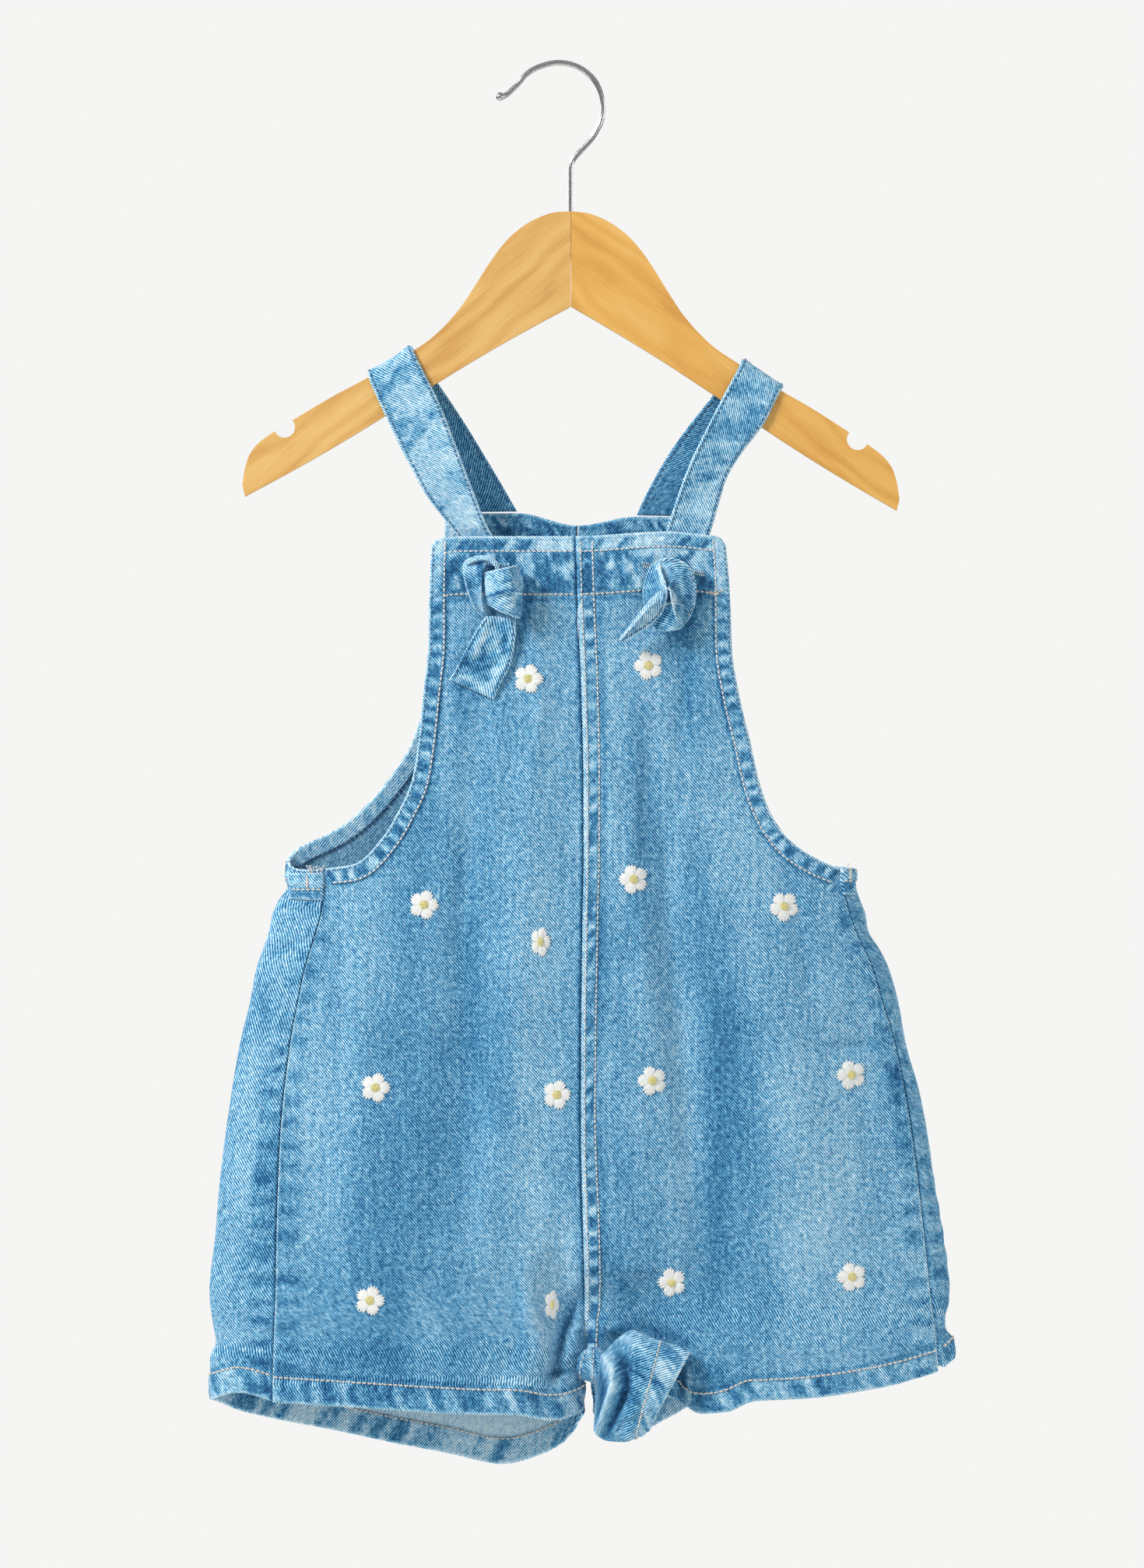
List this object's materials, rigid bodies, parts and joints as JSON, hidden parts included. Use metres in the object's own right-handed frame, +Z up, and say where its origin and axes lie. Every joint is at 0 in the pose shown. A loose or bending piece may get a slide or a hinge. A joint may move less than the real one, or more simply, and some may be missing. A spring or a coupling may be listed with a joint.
{
  "type": "child's denim short dungarees on a child's wooden hanger",
  "caption": "Light-wash denim short dungarees for a small child, with knotted straps and sewn-on daisies, hanging on a wooden hanger with a wire hook.",
  "frame": {"origin": "underside of the crown of the hook, where a rail carries it", "axes": "+Z up along the hanging garment, +X to the right as seen from the front, +Y from the front of the garment to its back"},
  "size_m": [0.3507, 0.0454, 0.6605],
  "materials": {
    "denim": "light-wash twill, matte",
    "wood": "clear satin lacquer",
    "hook_metal": "bright wire",
    "daisy_thread": "white satin stitch with a pale yellow centre"
  },
  "bodies": {
    "root": {"back_left": "denim", "back_right": "denim", "crotch_roll": "denim", "daisy_01": "daisy_thread", "daisy_02": "daisy_thread", "daisy_03": "daisy_thread", "daisy_04": "daisy_thread", "daisy_05": "daisy_thread", "daisy_06": "daisy_thread", "daisy_07": "daisy_thread", "daisy_08": "daisy_thread", "daisy_09": "daisy_thread", "daisy_10": "daisy_thread", "daisy_11": "daisy_thread", "daisy_12": "daisy_thread", "daisy_13": "daisy_thread", "daisy_14": "daisy_thread", "front_left": "denim", "front_right": "denim", "hanger_left": "wood", "hanger_right": "wood", "hook": "hook_metal", "knot_left": "denim", "knot_loop_left": "denim", "knot_right": "denim", "leg_turnout_right": "denim", "strap_left": "denim", "strap_right": "denim", "tail_left": "denim", "tail_right": "denim"}
  },
  "joints": []
}
